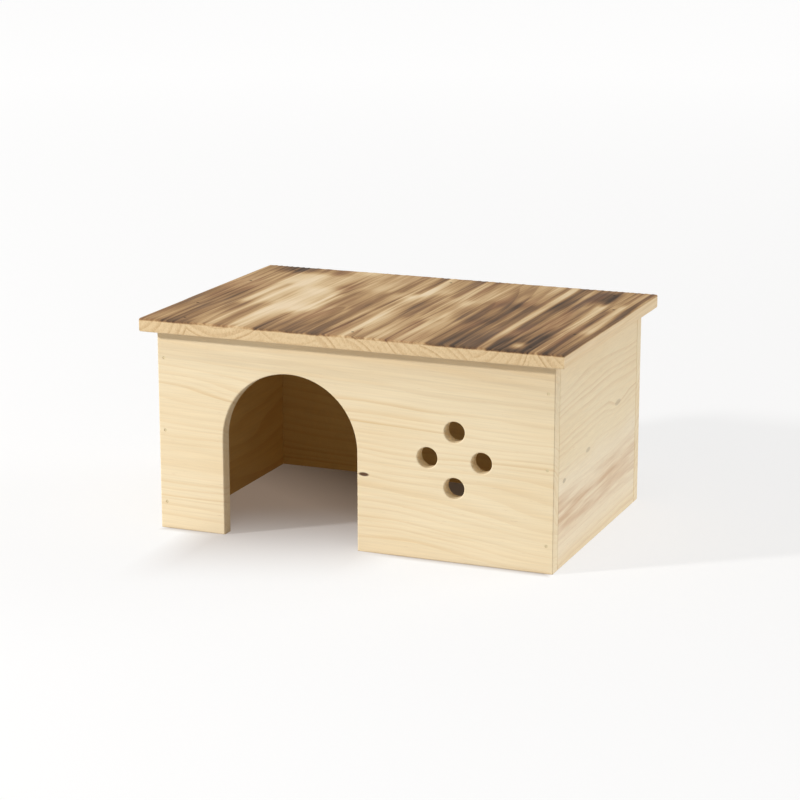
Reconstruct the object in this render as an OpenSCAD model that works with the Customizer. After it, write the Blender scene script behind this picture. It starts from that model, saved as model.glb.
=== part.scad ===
// Guinea pig house: four pine boards nailed into an open-bottomed box, with an arched
// doorway and a ring of air holes in the front board, under a flat flamed roof panel.
// Millimetres. The origin is on the ground under the middle of the house, +X to the right
// as seen from the front, +Y to the back and +Z up.

/* [Walls] */
// Width of the wall box, left to right
box_w = 300; // [260:1:360]
// Depth of the wall box, front to back
box_d = 200; // [170:1:260]
// Height of the walls
wall_h = 147; // [140:1:190]
// Thickness of the wall boards
wall_t = 10; // [8:0.5:14]
// Radius of the sanded edges of the boards and their openings
edge_r = 0.8; // [0.4:0.1:1.6]

/* [Roof] */
// Thickness of the roof panel
roof_t = 10; // [8:0.5:14]
// Overhang of the roof past each side wall
roof_over_side = 9; // [4:1:20]
// Overhang of the roof past the front wall and past the back wall
roof_over_front = 10; // [4:1:20]

/* [Doorway] */
// Width between the straight jambs
door_w = 104; // [80:1:120]
// Height of the arch's crown above the ground
door_h = 123; // [100:1:128]
// Distance of the doorway's middle to the left of the house's middle
door_left = 47; // [40:1:70]

/* [Air holes] */
// Diameter of one air hole
vent_d = 15; // [8:0.5:18]
// Number of air holes in the ring
vent_count = 4; // [3:1:6]
// Diameter of the circle through the holes' middles
vent_ring_d = 40; // [38:1:56]
// Distance of the ring's middle to the right of the house's middle
vent_right = 77.5; // [70:0.5:95]

/* [Nails] */
// Diameter of the shank
nail_d = 1.4; // [1.2:0.1:1.8]
// Diameter of the lost head
nail_head_d = 2.2; // [2:0.1:3]
// Length from the head to the point
nail_l = 30; // [25:1:35]
// Depth of the heads below the face of the wood
nail_sink = 0.3; // [0.1:0.1:0.8]
// Distance of the outer nails from the ends of a seam
nail_inset = 20; // [15:1:30]

/* [Hidden] */
$fn = 96;
// Sides of a round that is only as large as a sanded edge or a nail
fine_fn = 32;
// How far a cutter runs past the face that it opens
past = 2;
// Room round a nail in its bore, all the way along
nail_room = 0.03;
nail_head_h = 0.9;
nail_neck_h = 0.5;
nail_point_l = 2.2;

roof_w = box_w + 2 * roof_over_side;
roof_d = box_d + 2 * roof_over_front;
side_d = box_d - 2 * wall_t;
arch_r = door_w / 2;
spring_z = door_h - arch_r;
vent_z = wall_h / 2;

// Middles of the boards' thickness, which the nails follow
seam_x = (box_w - wall_t) / 2;
seam_y = (box_d - wall_t) / 2;
corner_nail_zs = [nail_inset, wall_h / 2, wall_h - nail_inset];
long_nail_xs = [-box_w / 2 + nail_inset, 0, box_w / 2 - nail_inset];
short_nail_ys = [-side_d / 4, side_d / 4];

pine = "#efdab4";
flamed_pine = "#a1815c";
yellow_zinc = "#d6c498";

// A rectangle about the origin whose four corners are sanded round
module eased_rectangle(w, h) {
    square([w - 2 * edge_r, h], center = true);
    square([w, h - 2 * edge_r], center = true);
    for (x = [-1, 1], y = [-1, 1])
        translate([x * (w / 2 - edge_r), y * (h / 2 - edge_r)])
            circle(r = edge_r, $fn = fine_fn);
}

// A board standing on the ground about the Z axis, sanded along all twelve edges:
// what three eased bars, one along each axis, have in common
module eased_board(w, d, h) {
    intersection() {
        linear_extrude(h)
            eased_rectangle(w, d);
        translate([0, d / 2, h / 2])
            rotate([90, 0, 0])
                linear_extrude(d)
                    eased_rectangle(w, h);
        translate([-w / 2, 0, h / 2])
            rotate([90, 0, 90])
                linear_extrude(w)
                    eased_rectangle(d, h);
    }
}

// Half the section of an opening through a wall: its half width along X and the depth of
// the board along Y, flaring at both faces round the sanded rim
module opening_section(half_w) {
    translate([0, -past])
        square([half_w, wall_t + 2 * past]);
    for (face = [0, 1])
        translate([half_w, face * wall_t])
            mirror([0, face])
                difference() {
                    translate([-edge_r, -past])
                        square([2 * edge_r, edge_r + past]);
                    translate([edge_r, edge_r])
                        circle(r = edge_r, $fn = fine_fn);
                }
}

// The space of a round opening about the Y axis, from the front face backwards
module round_opening(r, turn = 360) {
    rotate([-90, 0, 0])
        rotate_extrude(angle = turn)
            opening_section(r);
}

// The space of the doorway: straight jambs from below the ground to the springing line,
// and half of a round opening above it
module doorway() {
    translate([-door_left, -box_d / 2, 0]) {
        for (side = [0, 1])
            mirror([side, 0, 0])
                translate([0, 0, -past])
                    linear_extrude(spring_z + past)
                        opening_section(arch_r);
        translate([0, 0, spring_z])
            rotate([0, 180, 0])
                round_opening(arch_r, 180);
    }
}

// The space of the air holes, the first of them straight above the ring's middle
module air_holes() {
    translate([vent_right, -box_d / 2, vent_z])
        for (i = [0:vent_count - 1])
            rotate([0, i * 360 / vent_count, 0])
                translate([0, 0, vent_ring_d / 2])
                    round_opening(vent_d / 2);
}

// A lost-head wire nail driven down the Z axis from a face at z = 0. Room grows it all
// round and top moves its upper end, which makes it the bore that the nail sits in.
module nail(room = 0, top = -nail_sink) {
    head_r = nail_head_d / 2 + room;
    shank_r = nail_d / 2 + room;
    neck_z = -nail_sink - nail_head_h - room;
    rotate_extrude($fn = fine_fn)
        polygon([
            [0, top],
            [head_r, top],
            [head_r, neck_z],
            [shank_r, neck_z - nail_neck_h],
            [shank_r, -nail_l + nail_point_l],
            [0, -nail_l - room]
        ]);
}

module nail_bore() {
    nail(nail_room, past);
}

// Puts its children at the three nails of an upright corner: x is -1 for the left corners
// and 1 for the right ones, y is -1 for the front and 1 for the back
module at_corner(x, y) {
    for (z = corner_nail_zs)
        translate([x * seam_x, y * box_d / 2, z])
            rotate([-90 * y, 0, 0])
                children();
}

// Puts its children at the roof nails over the front wall (-1) or the back wall (1)
module at_long_edge(y) {
    for (x = long_nail_xs)
        translate([x, y * seam_y, wall_h + roof_t])
            children();
}

// Puts its children at the roof nails over the left wall (-1) or the right wall (1)
module at_short_edge(x) {
    for (y = short_nail_ys)
        translate([x * seam_x, y, wall_h + roof_t])
            children();
}

// A long wall with its nail bores, at the front (-1) or the back (1). It laps over the
// ends of both side walls.
module long_wall(y) {
    difference() {
        translate([0, y * seam_y, 0])
            eased_board(box_w, wall_t, wall_h);
        for (x = [-1, 1])
            at_corner(x, y)
                nail_bore();
        at_long_edge(y)
            nail_bore();
    }
}

// A side wall with its nail bores, on the left (-1) or the right (1), between the long walls
module side_wall(x) {
    difference() {
        translate([x * seam_x, 0, 0])
            eased_board(wall_t, side_d, wall_h);
        for (y = [-1, 1])
            at_corner(x, y)
                nail_bore();
        at_short_edge(x)
            nail_bore();
    }
}

module front_wall() {
    color(pine)
        difference() {
            long_wall(-1);
            doorway();
            air_holes();
        }
}

module back_wall() {
    color(pine)
        long_wall(1);
}

module left_wall() {
    color(pine)
        side_wall(-1);
}

module right_wall() {
    color(pine)
        side_wall(1);
}

// The flat roof lies on the top edges of all four walls and overhangs them
module roof_panel() {
    color(flamed_pine)
        difference() {
            translate([0, 0, wall_h])
                eased_board(roof_w, roof_d, roof_t);
            for (side = [-1, 1]) {
                at_long_edge(side)
                    nail_bore();
                at_short_edge(side)
                    nail_bore();
            }
        }
}

module nails_front_left() {
    color(yellow_zinc)
        at_corner(-1, -1)
            nail();
}

module nails_front_right() {
    color(yellow_zinc)
        at_corner(1, -1)
            nail();
}

module nails_back_left() {
    color(yellow_zinc)
        at_corner(-1, 1)
            nail();
}

module nails_back_right() {
    color(yellow_zinc)
        at_corner(1, 1)
            nail();
}

module nails_roof_front() {
    color(yellow_zinc)
        at_long_edge(-1)
            nail();
}

module nails_roof_back() {
    color(yellow_zinc)
        at_long_edge(1)
            nail();
}

module nails_roof_left() {
    color(yellow_zinc)
        at_short_edge(-1)
            nail();
}

module nails_roof_right() {
    color(yellow_zinc)
        at_short_edge(1)
            nail();
}

front_wall();
back_wall();
left_wall();
right_wall();
roof_panel();
nails_front_left();
nails_front_right();
nails_back_left();
nails_back_right();
nails_roof_front();
nails_roof_back();
nails_roof_left();
nails_roof_right();
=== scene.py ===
import math

import bpy
import numpy as np
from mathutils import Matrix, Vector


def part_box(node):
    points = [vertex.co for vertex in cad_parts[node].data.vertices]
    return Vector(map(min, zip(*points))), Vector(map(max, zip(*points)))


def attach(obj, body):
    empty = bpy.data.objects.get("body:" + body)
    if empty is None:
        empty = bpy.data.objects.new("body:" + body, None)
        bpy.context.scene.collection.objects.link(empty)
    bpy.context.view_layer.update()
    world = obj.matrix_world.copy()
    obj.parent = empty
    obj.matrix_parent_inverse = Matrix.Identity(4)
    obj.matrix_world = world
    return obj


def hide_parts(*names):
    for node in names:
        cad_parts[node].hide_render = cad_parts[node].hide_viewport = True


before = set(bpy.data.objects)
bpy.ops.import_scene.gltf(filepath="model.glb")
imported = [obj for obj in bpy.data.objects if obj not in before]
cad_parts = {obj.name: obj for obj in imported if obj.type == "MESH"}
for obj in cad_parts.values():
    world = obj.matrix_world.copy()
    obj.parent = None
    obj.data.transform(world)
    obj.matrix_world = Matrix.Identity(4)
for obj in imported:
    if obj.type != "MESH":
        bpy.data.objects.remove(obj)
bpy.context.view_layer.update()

# Side walls. Two pine boards, planed, sanded and left raw, with the grain running front to back.
# They stand between the long walls, which are nailed to their ends.


def linear(code):
    """An sRGB hex colour as linear red, green, blue and alpha."""
    parts = np.array([int(code[i : i + 2], 16) for i in (0, 2, 4)]) / 255
    parts = np.where(parts <= 0.04045, parts / 12.92, ((parts + 0.055) / 1.055) ** 2.4)
    return (*parts.tolist(), 1.0)


def add_node(tree, kind, inputs, output=0, **settings):
    """Adds a shader node with its settings, fills or links its inputs, and returns one of its outputs.
    A Mix node's inputs 0, 6 and 7 are its factor and its two colours, and its output 2 is the colour."""
    node = tree.nodes.new("ShaderNode" + kind)
    for name, value in settings.items():
        setattr(node, name, value)
    for name, value in inputs.items():
        if isinstance(value, bpy.types.NodeSocket):
            tree.links.new(value, node.inputs[name])
        else:
            node.inputs[name].default_value = value
    return node.outputs[output] if node.outputs else None


def empty_material(name):
    """A material of that name with an empty node tree, and the tree."""
    material = bpy.data.materials.new(name)
    material.use_nodes = True
    material.node_tree.nodes.clear()
    return material, material.node_tree


def growth_rings(tree, radius, ring_mm):
    """The late wood's share, from 0 to 1, at a distance in mm from the pith. Pale early wood darkens
    through each year into late wood and then ends sharply. Years differ in width and in depth."""
    spell_mm, uneven_mm = 14, 9.0
    slow = add_node(tree, "Math", {0: radius, 1: 1 / spell_mm}, operation="MULTIPLY")
    pace = add_node(tree, "TexNoise", {"W": slow, "Scale": 1.0, "Detail": 1.0}, noise_dimensions="1D")
    uneven = add_node(tree, "Math", {0: pace, 1: uneven_mm, 2: radius}, operation="MULTIPLY_ADD")
    years = add_node(tree, "Math", {0: uneven, 1: 1 / ring_mm}, operation="MULTIPLY")
    season = add_node(tree, "Math", {0: years}, operation="FRACT")
    growing = {"Value": season, "From Min": 0.3, "From Max": 0.92}
    darkening = add_node(tree, "MapRange", growing, interpolation_type="SMOOTHSTEP")
    winter = {"Value": season, "From Min": 1.0, "From Max": 0.93}
    ending = add_node(tree, "MapRange", winter, interpolation_type="SMOOTHSTEP")
    ring = add_node(tree, "Math", {0: darkening, 1: ending}, operation="MULTIPLY")
    number = add_node(tree, "Math", {0: years}, operation="FLOOR")
    weather = add_node(tree, "TexNoise", {"W": number, "Scale": 0.7}, noise_dimensions="1D")
    weather = {"Value": weather, "From Min": 0.25, "From Max": 0.75, "To Min": 0.12}
    depth = add_node(tree, "MapRange", weather)
    return add_node(tree, "Math", {0: ring, 1: depth}, operation="MULTIPLY")


def streaks(tree, log, along_mm, across_mm, **settings):
    """Noise in streaks of that length along the grain and that width across it, on a place in mm."""
    sizes = (1 / along_mm, 1 / across_mm, 1 / across_mm)
    scaled = add_node(tree, "VectorMath", {0: log, 1: sizes}, operation="MULTIPLY")
    return add_node(tree, "TexNoise", {"Vector": scaled, "Scale": 1.0, "Detail": 2.0}, **settings)


def planed_pine(name, turn, inward, inner_shade, pith, ring_mm, late, heart, knots):
    """Planed raw pine: straw-coloured and matt, with soft darker lines of late wood. The tone at a
    point follows its distance from the log's pith, so faces, end grain and cut rims all show the same
    growth rings. That distance sways along the grain and swells round each knot, which bends the lines
    about it. The face that looks inward is darkened and browned by a given colour: painted shade, for
    the dim brown look inside the house.
    The log lies along X once the frame is turned by those degrees about X, Y and Z. Pith is its place
    (through, up), heart is the heart wood's radius, colour and share and the share of paler wood round
    it, and each knot is (along, up, length, height, swell, darkness), in mm. Its fibres are drawn about
    1 mm wide, far coarser than real ones, so that they show."""
    material, tree = empty_material(name)
    place = add_node(tree, "TexCoord", {}, output="Object")
    normal = add_node(tree, "TexCoord", {}, output="Normal")
    lie = {"Location": (0, -pith[0], -pith[1]), "Rotation": np.radians(turn), "Scale": (1000, 1000, 1000)}
    log = add_node(tree, "Mapping", {"Vector": place, **lie})
    section = add_node(tree, "VectorMath", {0: log, 1: (0, 1, 1)}, operation="MULTIPLY")
    radius = add_node(tree, "VectorMath", {0: section}, output="Value", operation="LENGTH")
    for along_mm, across_mm, sway_mm in ((330, 80, 13), (110, 26, 1.4), (25, 6, 0.3)):
        sway = streaks(tree, log, along_mm, across_mm, normalize=False)
        radius = add_node(tree, "Math", {0: sway, 1: sway_mm, 2: radius}, operation="MULTIPLY_ADD")
    cores = []
    for along, up, length, height, swell, darkness in knots:
        sizes = (1 / length, 0, 1 / height)
        middle = (-along / length, 0, (pith[1] - up) / height)
        offset = add_node(tree, "VectorMath", {0: log, 1: sizes, 2: middle}, operation="MULTIPLY_ADD")
        away = add_node(tree, "VectorMath", {0: offset}, output="Value", operation="LENGTH")
        around = {"Value": away, "From Min": 5.0, "From Max": 0.0, "To Max": swell}
        bulge = add_node(tree, "MapRange", around, interpolation_type="SMOOTHSTEP")
        radius = add_node(tree, "Math", {0: radius, 1: bulge}, operation="ADD")
        within = {"Value": away, "From Min": 1.2, "From Max": 0.7, "To Max": darkness}
        cores.append(add_node(tree, "MapRange", within, interpolation_type="SMOOTHSTEP"))
    rings = growth_rings(tree, radius, ring_mm)
    clear = streaks(tree, log, along_mm=160, across_mm=24)
    clear = add_node(tree, "MapRange", {"Value": clear, "From Min": 0.35, "From Max": 0.65, "To Min": 0.3})
    rings = add_node(tree, "Math", {0: rings, 1: clear}, operation="MULTIPLY")
    year = {0: rings, 6: linear("f3e0bb"), 7: linear(late)}
    wood = add_node(tree, "Mix", year, output=2, data_type="RGBA")
    cloud = streaks(tree, log, along_mm=140, across_mm=30)
    cloud = add_node(tree, "MapRange", {"Value": cloud, "From Min": 0.4, "From Max": 0.8, "To Max": 0.6})
    wood = add_node(tree, "Mix", {0: cloud, 6: wood, 7: linear("ebcfa0")}, output=2, data_type="RGBA")
    heart_mm, heart_colour, heart_share, pale_share = heart
    blur_mm, pale_mm = 8, 30
    around = {"From Min": heart_mm + pale_mm, "From Max": heart_mm + blur_mm, "To Max": pale_share}
    young = add_node(tree, "MapRange", {"Value": radius, **around}, interpolation_type="SMOOTHSTEP")
    wood = add_node(tree, "Mix", {0: young, 6: wood, 7: linear("f8ecd6")}, output=2, data_type="RGBA")
    within = {"From Min": heart_mm + blur_mm, "From Max": heart_mm - blur_mm, "To Max": heart_share}
    core = add_node(tree, "MapRange", {"Value": radius, **within}, interpolation_type="SMOOTHSTEP")
    stripe = streaks(tree, log, along_mm=170, across_mm=4)
    stripe = {"Value": stripe, "From Min": 0.35, "From Max": 0.65, "To Min": 0.15}
    stripe = add_node(tree, "MapRange", stripe)
    core = add_node(tree, "Math", {0: core, 1: stripe}, operation="MULTIPLY")
    wood = add_node(tree, "Mix", {0: core, 6: wood, 7: linear(heart_colour)}, output=2, data_type="RGBA")
    resin = streaks(tree, log, along_mm=9, across_mm=0.5)
    resin = add_node(tree, "MapRange", {"Value": resin, "From Min": 0.66, "From Max": 0.76, "To Max": 0.3})
    wood = add_node(tree, "Mix", {0: resin, 6: wood, 7: linear("b98a55")}, output=2, data_type="RGBA")
    for core in cores:
        wood = add_node(tree, "Mix", {0: core, 6: wood, 7: linear("5a3a1c")}, output=2, data_type="RGBA")
    # Painted shade: the face that looks inward is darkened and browned by a given colour, for the dim
    # inside of the house
    facing = add_node(tree, "VectorMath", {0: normal, 1: inward}, output="Value", operation="DOT_PRODUCT")
    inner = add_node(tree, "MapRange", {"Value": facing, "From Min": 0.5, "From Max": 0.9})
    deeper = {0: inner, 6: wood, 7: linear(inner_shade)}
    wood = add_node(tree, "Mix", deeper, output=2, data_type="RGBA", blend_type="MULTIPLY")
    fibre_mm, ridge_mm = 0.9, 0.08
    fibre = streaks(tree, log, along_mm=34, across_mm=fibre_mm)
    lustre = {"Value": fibre, "From Min": 0.2, "From Max": 0.8, "To Min": 0.94, "To Max": 1.04}
    shade = add_node(tree, "MapRange", lustre)
    wood = add_node(tree, "VectorMath", {0: wood, 1: shade}, operation="MULTIPLY")
    height = add_node(tree, "Math", {0: rings, 1: 0.6, 2: fibre}, operation="MULTIPLY_ADD")
    bump = add_node(tree, "Bump", {"Height": height, "Strength": 0.5, "Distance": ridge_mm / 1000})
    dullness = add_node(tree, "MapRange", {"Value": rings, "To Min": 0.62, "To Max": 0.52})
    finish = {"Base Color": wood, "Roughness": dullness, "IOR": 1.5, "Normal": bump}
    shader = add_node(tree, "BsdfPrincipled", finish)
    add_node(tree, "OutputMaterial", {"Surface": shader})
    return material


def dress(node, material):
    """Gives a CAD node that material in its slot."""
    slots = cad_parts[node].data.materials
    slots.clear()
    slots.append(material)


right_pine = planed_pine(
    "planed_pine_right",
    turn=(-2, 0, -87),
    inward=(-1, 0, 0),
    inner_shade="f8eab8",
    pith=(-161, 34),
    ring_mm=5.5,
    late="dfbe90",
    heart=(16, "cfa67c", 0.75, 0.4),
    knots=[(-68, 64, 3.5, 1.6, 3, 0.35), (-15, 71, 5, 1.6, 3, 0.25), (55, 87, 7, 2, 4, 0.25)],
)
dress("right_wall", right_pine)
left_pine = planed_pine(
    "planed_pine_left",
    turn=(-2, 0, -90),
    inward=(1, 0, 0),
    inner_shade="f8eab8",
    pith=(20, -20),
    ring_mm=5.5,
    late="dfbe90",
    heart=(12, "e3bd90", 0.5, 0.3),
    knots=[],
)
dress("left_wall", left_pine)

# Long walls. Two pine boards with the grain lying along them, lapped over the side walls' ends
# and nailed there. The front one has the arched doorway and the ring of air holes cut out.
front_pine = planed_pine(
    "planed_pine_front",
    turn=(0, -1.5, 0),
    inward=(0, 1, 0),
    inner_shade="f8eab8",
    pith=(-40, 190),
    ring_mm=5.0,
    late="e3c594",
    heart=(88, "e0cba6", 0.7, 0.0),
    knots=[(8.5, 57, 3.9, 1.4, 1.0, 1.0), (150, 34, 26, 8, -16, 0.0)],
)
dress("front_wall", front_pine)
back_pine = planed_pine(
    "planed_pine_back",
    turn=(0, -2, 0),
    inward=(0, -1, 0),
    inner_shade="efe0a8",
    pith=(0, 170),
    ring_mm=5.5,
    late="dfbe90",
    heart=(12, "e3bd90", 0.5, 0.3),
    knots=[(60, 90, 5.5, 4, 9.0, 0.8)],
)
dress("back_wall", back_pine)

# Corner nails. Lost-head wire nails, zinc plated and yellow passivated, driven through the long
# walls into the side walls' ends and sunk a little below the wood.


def passivated_zinc(name, bright, dull, roughness):
    """Passivated zinc on steel wire: a soft metal, blotchy where the hammer struck. Its blotches go from
    the bright colour and the first roughness to the dull colour and the second."""
    material, tree = empty_material(name)
    place = add_node(tree, "TexCoord", {}, output="Object")
    blotch_mm = 0.6
    blotch = add_node(tree, "TexNoise", {"Vector": place, "Scale": 1000 / blotch_mm, "Detail": 2.0})
    struck = {0: blotch, 6: linear(bright), 7: linear(dull)}
    metal = add_node(tree, "Mix", struck, output=2, data_type="RGBA")
    worn = add_node(tree, "MapRange", {"Value": blotch, "To Min": roughness[0], "To Max": roughness[1]})
    shader = add_node(tree, "BsdfPrincipled", {"Base Color": metal, "Metallic": 1.0, "Roughness": worn})
    add_node(tree, "OutputMaterial", {"Surface": shader})
    return material


wall_nail = passivated_zinc("yellow_zinc_nail", "f0e2bf", "cdb88c", (0.35, 0.55))
for corner in ("front_left", "front_right", "back_left", "back_right"):
    dress("nails_" + corner, wall_nail)

# Roof panel. Strips of pine glued edge to edge, 10 mm thick, the grain running front to back.
# Its top was flamed with a torch and brushed, which chars the soft wood and leaves the hard late
# wood standing. Edges and underside stay raw. It lies on the walls and is nailed into their tops.
roof_low, roof_high = (np.array(corner) * 1000 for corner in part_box("roof_panel"))
roof_middle = (roof_low + roof_high) / 2
roof_half = (roof_high - roof_low) / 2
edge_mm = 0.8
roof_ring_mm = 4.6

# Each strip's width in mm, and how far the flame took it at the front and at the back
strips = np.array(
    [
        (37, 0.68, 0.42),
        (58, 0.14, 0.11),
        (43, 0.58, 0.32),
        (22, 0.36, 0.38),
        (24, 0.34, 0.46),
        (30, 0.28, 0.4),
        (40, 0.66, 0.34),
        (42, 0.79, 0.52),
        (22, 0.44, 0.32),
    ]
)
strip_ends = np.cumsum(strips[:, 0])

# Licks of the flame: the middle in mm from the left edge, the width in mm, the start and end in mm
# from the front edge, and how much darker or paler they are
licks = [
    (24, 8, -20, 70, 0.12),
    (24, 9, 150, 240, 0.1),
    (42, 12, 80, 160, 0.12),
    (44, 14, -20, 80, 0.42),
    (47, 62, 200, 240, 0.44),
    (49, 7, 80, 160, 0.18),
    (60, 9, 85, 150, 0.2),
    (61, 12, -20, 85, 0.38),
    (80, 36, 150, 210, 0.22),
    (84, 26, 70, 140, -0.12),
    (90, 8, -20, 60, 0.38),
    (94, 6, 150, 205, 0.08),
    (98, 10, 70, 130, -0.26),
    (114, 20, 90, 150, 0.14),
    (131, 8, -20, 150, 0.24),
    (136, 8, 150, 240, 0.26),
    (146, 14, 75, 150, -0.14),
    (153, 6, 150, 240, 0.36),
    (155, 5, -20, 150, -0.2),
    (160, 6, 150, 240, -0.3),
    (168, 6, -20, 70, 0.2),
    (171, 13, 70, 160, 0.2),
    (183, 8, 150, 240, 0.22),
    (189, 7, -20, 70, 0.26),
    (199, 7, 80, 140, -0.24),
    (202, 14, 150, 240, 0.16),
    (209, 6, 75, 150, 0.06),
    (226, 30, 75, 150, 0.18),
    (236, 4, -20, 150, 0.2),
    (241, 5, -20, 150, 0.1),
    (246, 6, 150, 240, -0.14),
    (248, 4, -20, 150, 0.2),
    (252, 4, -20, 240, 0.14),
    (257, 6, -20, 240, -0.42),
    (265, 8, 60, 165, 0.3),
    (266, 8, 165, 240, 0.26),
    (278, 9, 11, 21, -0.8),
    (284, 5, 75, 160, -0.2),
    (287, 18, 176, 212, 0.4),
    (288, 14, 8, 55, 0.18),
    (294, 7, -20, 165, -0.42),
    (294, 9, 75, 165, -0.12),
    (302, 4, -20, 150, 0.28),
    (306, 14, -20, 65, 0.14),
    (307, 8, 170, 240, 0.2),
    (309, 4, -20, 165, -0.1),
    (309, 6, 70, 170, -0.2),
    (316, 4, -20, 240, 0.36),
]


def soft_noise(u, v, seed):
    """Smooth noise from 0 to 1: random values at whole u and v, with a cubic step between them."""
    cells = 256
    lattice = np.random.default_rng(seed).random((cells, cells))
    i, j = np.floor(u).astype(int), np.floor(v).astype(int)
    du, dv = u - i, v - j
    du, dv = du * du * (3 - 2 * du), dv * dv * (3 - 2 * dv)
    near = lattice[i % cells, j % cells] * (1 - du) + lattice[(i + 1) % cells, j % cells] * du
    far = lattice[i % cells, (j + 1) % cells] * (1 - du) + lattice[(i + 1) % cells, (j + 1) % cells] * du
    return near * (1 - dv) + far * dv


def strip_at(x):
    """The number of the strip at x, counted from the left."""
    return np.searchsorted(strip_ends, x - roof_low[0]).clip(max=len(strips) - 1)


def ring_distance(x, y, z):
    """Distance in mm from the pith of the strip at x: straight across the section, plus a sway along
    the grain and a slow drift from front to back."""
    strip = strip_at(x)
    draw = np.random.default_rng(11)
    pith_x = roof_low[0] + strip_ends - strips[:, 0] / 2 + draw.uniform(-35, 35, len(strips))
    pith_z = roof_middle[2] + draw.choice([-1, 1], len(strips)) * draw.uniform(12, 45, len(strips))
    sway = 7 * soft_noise(x / 60 + 9 * strip, y / 120, 12) + 2 * soft_noise(x / 14, y / 60, 13)
    drift = 0.02 * y * (-1.0) ** strip
    return np.hypot(x - pith_x[strip], z - pith_z[strip]) + sway + drift


def scorch(x, y):
    """How far the flame took the top, from 0 for raw pine to about 1 for char: each strip's tone from
    front to back, blended over 4 mm at the seams, plus the licks as leaning bars with soft ends that
    weave a little, plus patches and streaks of noise. The front and back rims, which the flame goes
    round, come out darker."""
    weave_mm, fade_mm, rim_mm = 2.4, 16, 5
    left, back = x - roof_low[0], y - roof_low[1]
    lean = 0.02 * (back - roof_half[1])
    weave = weave_mm * (soft_noise(x / 30, y / 70, 21) - 0.5)
    seams = (strip_ends[:-1, None] + [-2, 2]).ravel()
    front_tone, back_tone = (
        np.interp(left + lean + 3 * weave, seams, np.repeat(tones, 2)[1:-1]) for tones in strips[:, 1:].T
    )
    share = back / (2 * roof_half[1])
    tone = front_tone * (1 - share) + back_tone * share
    for middle, width, start, end, change in licks:
        soft = max(1.2, width / 4)
        across = np.clip((width / 2 + soft - abs(left + lean + weave - middle)) / (2 * soft), 0, 1)
        begun = np.clip((back - start) / fade_mm + 0.5, 0, 1)
        along = begun * np.clip((end - back) / fade_mm + 0.5, 0, 1)
        tone = tone + change * across**2 * (3 - 2 * across) * along
    for across_mm, along_mm, change, seed in ((22, 45, 0.36, 31), (7, 80, 0.24, 32), (2, 60, 0.22, 33)):
        tone = tone + change * (soft_noise(x / across_mm, y / along_mm, seed) - 0.5)
    return tone + 0.1 * np.exp(-(roof_half[1] - abs(y - roof_middle[1])) / rim_mm)


def stations(low, high, step):
    """Places from low to high: close together round both eased edges, and in even steps between."""
    rounding = edge_mm * (1 - np.cos(np.linspace(0, np.pi / 2, 5)))[:-1]
    flat = np.linspace(low + edge_mm, high - edge_mm, round((high - low) / step))
    return np.concatenate([low + rounding, flat, (high - rounding)[::-1]])


def flamed_panel():
    """The panel's points as a grid of rows and columns, its flame tone and its distance from the pith.
    A section runs over the top, down the right edge, back along the underside and up the left edge. It
    is carried from front to back and closes to a line across each end. Edges are eased by a quarter
    circle, early wood is brushed down by a share of 0.3 mm, and each nail sits in a round dimple. The
    tone dies away down the edges to that of raw wood, which is deeper on the end grain."""
    brushed_mm, sunk_mm, dimple_mm, charred_mm = 0.3, 0.42, 1.9, 0.4
    end_tone, side_tone = 0.2, 0.08
    across = stations(roof_low[0], roof_high[0], step=0.9)
    levels = np.linspace(1, -1, 8)[1:-1]
    right, left = np.full(len(levels), roof_high[0]), np.full(len(levels), roof_low[0])
    section_x = np.concatenate([across, right, across[::-1], left])
    section_side = np.concatenate([np.ones(len(across)), levels, -np.ones(len(across)), -levels])
    along = stations(roof_low[1], roof_high[1], step=2.4)
    closing = np.array([0, 0.35, 0.7])
    front, back = np.full(len(closing), roof_low[1]), np.full(len(closing), roof_high[1])
    row_y = np.concatenate([front, along, back])
    row_open = np.concatenate([closing, np.ones(len(along)), closing[::-1]])
    x, y = np.meshgrid(section_x, row_y)
    side, opened = np.meshgrid(section_side, row_open)
    past_x = np.clip(edge_mm - roof_half[0] + abs(x - roof_middle[0]), 0, None)
    past_y = np.clip(edge_mm - roof_half[1] + abs(y - roof_middle[1]), 0, None)
    drop = edge_mm - np.sqrt(edge_mm**2 - np.hypot(past_x, past_y).clip(max=edge_mm) ** 2)
    z = roof_middle[2] + side * opened * (roof_half[2] - drop)
    flame, distance = scorch(x, y), ring_distance(x, y, z)
    season = distance / roof_ring_mm % 1
    late_wood = np.clip((season - 0.4) / 0.45, 0, 1) * np.clip((1 - season) / 0.08, 0, 1)
    relief = brushed_mm * (1 - late_wood) * np.clip(0.35 + 0.6 * flame, 0, 1)
    dimple = np.zeros_like(x)
    for group, count in (("front", 3), ("back", 3), ("left", 2), ("right", 2)):
        first, last = (np.array(corner[:2]) * 1000 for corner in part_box("nails_roof_" + group))
        head_r = min(last - first) / 2
        for spot in np.linspace(first + head_r, last - head_r, count):
            away = np.hypot(x - spot[0], y - spot[1])
            dimple = np.maximum(dimple, np.exp(-((away / dimple_mm) ** 4)))
    on_top = (side == 1) & (opened == 1)
    z = np.where(on_top, z - relief * (1 - dimple) - sunk_mm * dimple, z)
    depth = np.where(on_top, 0, roof_high[2] - z)
    raw = np.where(past_y > 0.9 * edge_mm, end_tone, side_tone)
    tone = raw + (flame - raw) * np.exp(-((depth / charred_mm) ** 2))
    return np.stack([x, y, z], axis=-1) / 1000, tone, distance


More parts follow.
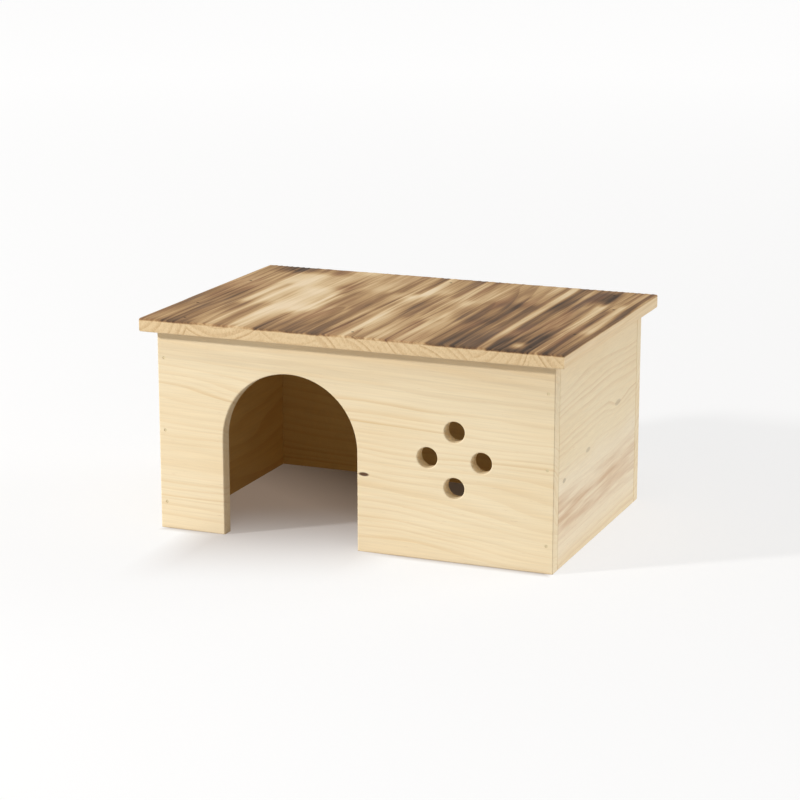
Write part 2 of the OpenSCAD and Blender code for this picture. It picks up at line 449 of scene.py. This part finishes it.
grid, tone, distance = flamed_panel()
places = grid.reshape(-1, 3).round(7)
points, first_use, index = np.unique(places, axis=0, return_index=True, return_inverse=True)
index = index.reshape(grid.shape[:2])
index = np.concatenate([index, index[:, :1]], axis=1)
quads = np.stack([index[:-1, :-1], index[:-1, 1:], index[1:, 1:], index[1:, :-1]], axis=-1).reshape(-1, 4)
front_tips = quads[:, 0] == quads[:, 1]
back_tips = quads[:, 2] == quads[:, 3]
faces = quads[~front_tips & ~back_tips].tolist()
faces += quads[front_tips][:, 1:].tolist() + quads[back_tips][:, :3].tolist()
roof_mesh = bpy.data.meshes.new("flamed_roof")
roof_mesh.from_pydata(points.tolist(), [], faces)
roof_mesh.polygons.foreach_set("use_smooth", np.ones(len(faces), bool))
for name, values in (("scorch", tone), ("pith_mm", distance)):
    layer = roof_mesh.attributes.new(name, "FLOAT", "POINT")
    layer.data.foreach_set("value", values.ravel()[first_use].astype(np.float32))
roof = bpy.data.objects.new("flamed_roof", roof_mesh)
bpy.context.scene.collection.objects.link(roof)


def flamed_pine(name):
    """Flamed and brushed pine: straw to charred brown in streaks along the grain, matt where charred.
    The flame's tone and the distance from the pith come with the mesh, so the lines of colour lie on
    its ridges. Noise adds the fibres, drawn as coarse as on the walls so that they show, and blotches
    of redder scorch and of cool grey char."""
    material, tree = empty_material(name)
    place = add_node(tree, "TexCoord", {}, output="Object")
    lie = {"Rotation": (0, 0, math.radians(-90)), "Scale": (1000, 1000, 1000)}
    log = add_node(tree, "Mapping", {"Vector": place, **lie})
    flame = add_node(tree, "Attribute", {}, output="Fac", attribute_name="scorch")
    radius = add_node(tree, "Attribute", {}, output="Fac", attribute_name="pith_mm")
    rings = growth_rings(tree, radius, roof_ring_mm)
    deeper = add_node(tree, "MapRange", {"Value": flame, "To Min": 0.1, "To Max": 0.42})
    rings = add_node(tree, "Math", {0: rings, 1: deeper}, operation="MULTIPLY")
    level = add_node(tree, "Math", {0: rings, 1: flame}, operation="ADD")
    fine = streaks(tree, log, along_mm=45, across_mm=1.4, normalize=False)
    charred = {"Value": flame, "From Min": 0.2, "From Max": 0.5, "To Min": 0.06, "To Max": 0.16}
    rough = add_node(tree, "MapRange", charred)
    level = add_node(tree, "Math", {0: fine, 1: rough, 2: level}, operation="MULTIPLY_ADD")
    wood = linear("f5ddb8")
    scorched = [
        (0.0, 0.2, "e7ca9c"),
        (0.2, 0.42, "c8a373"),
        (0.42, 0.62, "a27c52"),
        (0.62, 0.82, "7d5e40"),
        (0.82, 1.1, "4d3a2a"),
    ]
    for start, end, colour in scorched:
        share = add_node(tree, "MapRange", {"Value": level, "From Min": start, "From Max": end})
        wood = add_node(tree, "Mix", {0: share, 6: wood, 7: linear(colour)}, output=2, data_type="RGBA")
    clouds = [(80, 22, 0.25, 0.5, 0.4, "9c6a4a"), (70, 26, 0.5, 0.8, 0.3, "6f625a")]
    for along_mm, across_mm, start, end, most, colour in clouds:
        cloud = streaks(tree, log, along_mm, across_mm)
        cloud = {"Value": cloud, "From Min": 0.5, "From Max": 0.7, "To Max": most}
        cloud = add_node(tree, "MapRange", cloud)
        share = add_node(tree, "MapRange", {"Value": level, "From Min": start, "From Max": end})
        share = add_node(tree, "Math", {0: share, 1: cloud}, operation="MULTIPLY")
        wood = add_node(tree, "Mix", {0: share, 6: wood, 7: linear(colour)}, output=2, data_type="RGBA")
    fibre_mm, ridge_mm = 0.8, 0.12
    fibre = streaks(tree, log, along_mm=30, across_mm=fibre_mm)
    lustre = {"Value": fibre, "From Min": 0.2, "From Max": 0.8, "To Min": 0.9, "To Max": 1.06}
    shade = add_node(tree, "MapRange", lustre)
    wood = add_node(tree, "VectorMath", {0: wood, 1: shade}, operation="MULTIPLY")
    bump = add_node(tree, "Bump", {"Height": fibre, "Strength": 0.6, "Distance": ridge_mm / 1000})
    dullness = add_node(tree, "MapRange", {"Value": level, "To Min": 0.75, "To Max": 0.9})
    finish = {"Base Color": wood, "Roughness": dullness, "IOR": 1.5, "Normal": bump}
    shader = add_node(tree, "BsdfPrincipled", finish)
    add_node(tree, "OutputMaterial", {"Surface": shader})
    return material


roof_mesh.materials.append(flamed_pine("flamed_brushed_pine"))
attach(roof, "root")
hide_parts("roof_panel")

# Roof nails. The same wire nails, driven through the roof into the walls' top edges. The flame
# went over their heads and left them dark and dull.
roof_nail = passivated_zinc("flame_darkened_nail", "6b5c4c", "3d352e", (0.8, 0.95))
for edge in ("front", "back", "left", "right"):
    dress("nails_roof_" + edge, roof_nail)

# Studio. A wide sheet of paper under an even sky, a soft lamp on the left, and two white cards, one
# overhead and a low one at the right and behind. To the camera the paper glows, white round the house,
# with a painted shadow on the floor in front of the doorway and a faint brown painted light inside the
# house; elsewhere it keeps the house's shadows. Near the house it also lights the walls' feet.
reach = 30.0
paper_mesh = bpy.data.meshes.new("paper_ground")
corners = [(-reach, -reach, 0), (reach, -reach, 0), (reach, reach, 0), (-reach, reach, 0)]
paper_mesh.from_pydata(corners, [], [(0, 1, 2, 3)])
paper = bpy.data.objects.new("paper_ground", paper_mesh)
bpy.context.scene.collection.objects.link(paper)
material, tree = empty_material("white_paper")

# How far a place on the paper counts as outside the house, from 0 to 1. That changes within the walls'
# thickness, but through the doorway it fades from the middle of the floor to well in front of it, which
# paints a pool of shadow on the floor before the doorway.
inner_x, outer_x = (corner[0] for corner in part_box("right_wall"))
inner_y, outer_y = (corner[1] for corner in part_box("back_wall"))
front_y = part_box("front_wall")[0][1]
door_x, door_edge, jamb_edge = -0.047, 0.055, 0.085
place = add_node(tree, "TexCoord", {}, output="Object")
outward = add_node(tree, "VectorMath", {0: place}, operation="ABSOLUTE")
outward = add_node(tree, "SeparateXYZ", {0: outward}, output="X")
forward = add_node(tree, "SeparateXYZ", {0: place}, output="Y")
past_sides = add_node(tree, "MapRange", {"Value": outward, "From Min": inner_x, "From Max": outer_x})
past_back = add_node(tree, "MapRange", {"Value": forward, "From Min": inner_y, "From Max": outer_y})
past_front = {"Value": forward, "From Min": front_y + 0.003, "From Max": front_y - 0.007}
past_front = add_node(tree, "MapRange", past_front)
# Painted shadow: before the doorway the glow fades in along a fixed slant, which shades the floor there
inward = {0: place, 1: (-0.375, 0.927, 0)}
inward = add_node(tree, "VectorMath", inward, output="Value", operation="DOT_PRODUCT")
door_shadow = {"Value": inward, "From Min": 0.02, "From Max": -0.175}
door_shadow = add_node(tree, "MapRange", door_shadow, interpolation_type="SMOOTHSTEP")
aside = add_node(tree, "VectorMath", {0: place, 1: (-door_x, 0, 0)}, operation="ADD")
aside = add_node(tree, "VectorMath", {0: aside}, operation="ABSOLUTE")
aside = add_node(tree, "SeparateXYZ", {0: aside}, output="X")
aside = add_node(tree, "MapRange", {"Value": aside, "From Min": door_edge, "From Max": jamb_edge})
past_front = add_node(tree, "MapRange", {"Value": aside, "To Min": door_shadow, "To Max": past_front})
outside_with_door_shadow = add_node(tree, "Math", {0: past_sides, 1: past_back}, operation="MAXIMUM")
outside_with_door_shadow = add_node(tree, "Math", {0: outside_with_door_shadow, 1: past_front}, operation="MAXIMUM")

# What the camera sees it give: white outside, and inside a faint brown glow that dies away to the right
# and back, painted light for the dim brown bounce inside the house
deep = {0: place, 1: (0.5, 0.87, 0)}
deep = add_node(tree, "VectorMath", deep, output="Value", operation="DOT_PRODUCT")
inner = {"Value": deep, "From Min": 0.045, "From Max": -0.045, "To Min": 0.03, "To Max": 0.19}
inner = add_node(tree, "MapRange", inner)
far_off = add_node(tree, "VectorMath", {0: place}, output="Value", operation="LENGTH")
unlit = {"Value": far_off, "From Min": 0.3, "From Max": 3.0, "To Min": 0.65, "To Max": 0.76}
unlit = add_node(tree, "MapRange", unlit)
glow = add_node(tree, "MapRange", {"Value": outside_with_door_shadow, "To Min": inner, "To Max": unlit})
neutral = add_node(tree, "Math", {0: outside_with_door_shadow, 1: 0.5}, operation="POWER")
tint = {0: neutral, 6: linear("ffe2ca"), 7: linear("ffffff")}
tint = add_node(tree, "Mix", tint, output=2, data_type="RGBA")
seen = add_node(tree, "LightPath", {}, output="Is Camera Ray")
for kind in ("Is Glossy Ray", "Is Transmission Ray"):
    ray = add_node(tree, "LightPath", {}, output=kind)
    seen = add_node(tree, "Math", {0: seen, 1: ray}, operation="MAXIMUM")

# What it sends up to the house: white from near by, and inside amber, as light thrown from wood to wood
near = {"Value": far_off, "From Min": 0.65, "From Max": 0.35, "To Max": 0.42}
near = add_node(tree, "MapRange", near, interpolation_type="SMOOTHSTEP")
spill = add_node(tree, "Math", {0: outside_with_door_shadow, 1: 0.13}, operation="MAXIMUM")
spill = add_node(tree, "Math", {0: spill, 1: near}, operation="MULTIPLY")
glow = add_node(tree, "MapRange", {"Value": seen, "To Min": spill, "To Max": glow})
cast = {0: outside_with_door_shadow, 6: linear("ffb010"), 7: linear("ffffff")}
cast = add_node(tree, "Mix", cast, output=2, data_type="RGBA")
tint = add_node(tree, "Mix", {0: seen, 6: cast, 7: tint}, output=2, data_type="RGBA")

matt = {"Base Color": linear("9c9b9a"), "Roughness": 1.0, "Specular IOR Level": 0.0}
lit = {"Emission Color": tint, "Emission Strength": glow}
shader = add_node(tree, "BsdfPrincipled", {**matt, **lit})
add_node(tree, "OutputMaterial", {"Surface": shader})
paper_mesh.materials.append(material)

world = bpy.data.worlds.new("even_sky")
world.use_nodes = True
sky = world.node_tree.nodes["Background"]
sky.inputs["Color"].default_value = linear("ffffff")
sky.inputs["Strength"].default_value = 0.4
bpy.context.scene.world = world

key_data = bpy.data.lights.new("key_lamp", "AREA")
key_data.shape = "DISK"
key_data.size = 0.26
key_data.energy = 66
key_lamp = bpy.data.objects.new("key_lamp", key_data)
key_lamp.location = (-2.115, -1.775, 1.25)
key_lamp.rotation_euler = (math.radians(67), 0, math.radians(-50))
bpy.context.scene.collection.objects.link(key_lamp)

# Each card's turn round the house from straight ahead, its height and its breadth, in degrees, and
# its strength
cards = [("top_card", 40, 75, 40, 0.5), ("side_card", 122, 8, 40, 1.65)]
for name, turn, elevation, breadth, strength in cards:
    lamp_data = bpy.data.lights.new(name, "SUN")
    lamp_data.energy = strength
    lamp_data.angle = math.radians(breadth)
    lamp = bpy.data.objects.new(name, lamp_data)
    lamp.rotation_euler = (math.radians(90 - elevation), 0, math.radians(turn))
    bpy.context.scene.collection.objects.link(lamp)

# Camera. Right of the house and above it, looking a little down, as in the picture.
camera_dip, camera_turn = 0.2427, 0.3864
camera_data = bpy.data.cameras.new("camera")
camera_data.sensor_width = 36
camera_data.lens = 108.33
camera_data.clip_end = 100
camera = bpy.data.objects.new("camera", camera_data)
camera.location = (0.6442, -1.5915, 0.5114)
camera.rotation_euler = (math.pi / 2 - camera_dip, 0, camera_turn)
bpy.context.scene.collection.objects.link(camera)
bpy.context.scene.camera = camera
bpy.context.scene.view_settings.view_transform = "Standard"
